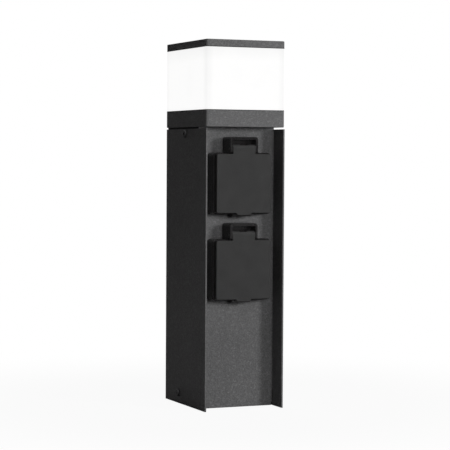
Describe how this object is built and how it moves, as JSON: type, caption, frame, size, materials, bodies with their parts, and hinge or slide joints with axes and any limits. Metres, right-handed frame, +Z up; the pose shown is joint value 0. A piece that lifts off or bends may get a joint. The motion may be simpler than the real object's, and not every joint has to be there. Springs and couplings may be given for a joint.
{
  "type": "garden socket post",
  "caption": "Free-standing outdoor socket post: folded black shell, recessed panel with two flap-lid sockets one above the other, and an opal lamp head.",
  "frame": {"origin": "on the ground, at the middle of the post's footprint", "axes": "+Z up, -Y the front with the sockets, +X to the viewer's right"},
  "size_m": [0.0892, 0.108, 0.3678],
  "materials": {
    "coated_steel": "fine-textured matt black powder coat",
    "coated_alloy": "fine-textured matt black powder coat",
    "zinc_steel": "zinc plated",
    "spring_steel": "stainless spring steel",
    "bare_aluminium": "bare sheet",
    "brass": "bare brass",
    "opal_acrylic": "opal acrylic, satin",
    "flap_plastic": "moulded matt black plastic",
    "socket_plastic": "moulded black plastic",
    "black_rubber": "black rubber",
    "black_screws": "blackened steel",
    "circuit_board": "white solder mask",
    "light_chips": "phosphor-coated chips",
    "driver_case": "white moulded case",
    "terminal_plastic": "light grey moulded",
    "cable_sheath": "black cable sheath"
  },
  "bodies": {
    "post": {"cable_grommet": "black_rubber", "cap": "coated_alloy", "diffuser": "opal_acrylic", "driver_screws": "zinc_steel", "earth_nut": "brass", "earth_stud": "brass", "front_panel": "coated_steel", "ground_bracket": "zinc_steel", "lamp_base": "coated_alloy", "lamp_cable": "cable_sheath", "led_board": "circuit_board", "led_driver": "driver_case", "led_plate": "bare_aluminium", "led_plate_screws": "zinc_steel", "leds": "light_chips", "lower_contact_carrier": "socket_plastic", "lower_contacts": "brass", "lower_cover_screws": "zinc_steel", "lower_diffuser_seal": "black_rubber", "lower_earth_strap": "spring_steel", "lower_gasket": "black_rubber", "lower_hinge_pin": "spring_steel", "lower_insert": "socket_plastic", "lower_rear_cover": "socket_plastic", "lower_socket_base": "socket_plastic", "lower_socket_cable": "cable_sheath", "lower_socket_screws": "zinc_steel", "neck_frame": "coated_steel", "shell": "coated_steel", "side_nuts": "zinc_steel", "side_screws": "black_screws", "terminal_block": "terminal_plastic", "terminal_carrier": "zinc_steel", "terminal_screws": "brass", "tie_rod_nuts": "zinc_steel", "tie_rod_washers": "zinc_steel", "tie_rods": "zinc_steel", "upper_contact_carrier": "socket_plastic", "upper_contacts": "brass", "upper_cover_screws": "zinc_steel", "upper_diffuser_seal": "black_rubber", "upper_earth_strap": "spring_steel", "upper_gasket": "black_rubber", "upper_hinge_pin": "spring_steel", "upper_insert": "socket_plastic", "upper_rear_cover": "socket_plastic", "upper_socket_base": "socket_plastic", "upper_socket_cable": "cable_sheath", "upper_socket_screws": "zinc_steel"},
    "upper_lid": {"upper_lid": "flap_plastic", "upper_lid_seal": "black_rubber", "upper_hinge_spring": "spring_steel"},
    "lower_lid": {"lower_lid": "flap_plastic", "lower_lid_seal": "black_rubber", "lower_hinge_spring": "spring_steel"}
  },
  "joints": [
    {"name": "upper_lid_hinge", "type": "hinge", "parent": "post", "child": "upper_lid", "pos_m": [0, -0.04735, 0.26065], "axis": [-1, 0, 0], "range_deg": [0, 105], "stiffness_Nm_per_rad": 0.012, "springref_deg": -34.38},
    {"name": "lower_lid_hinge", "type": "hinge", "parent": "post", "child": "lower_lid", "pos_m": [0, -0.04735, 0.17465], "axis": [-1, 0, 0], "range_deg": [0, 105], "stiffness_Nm_per_rad": 0.012, "springref_deg": -34.38}
  ]
}
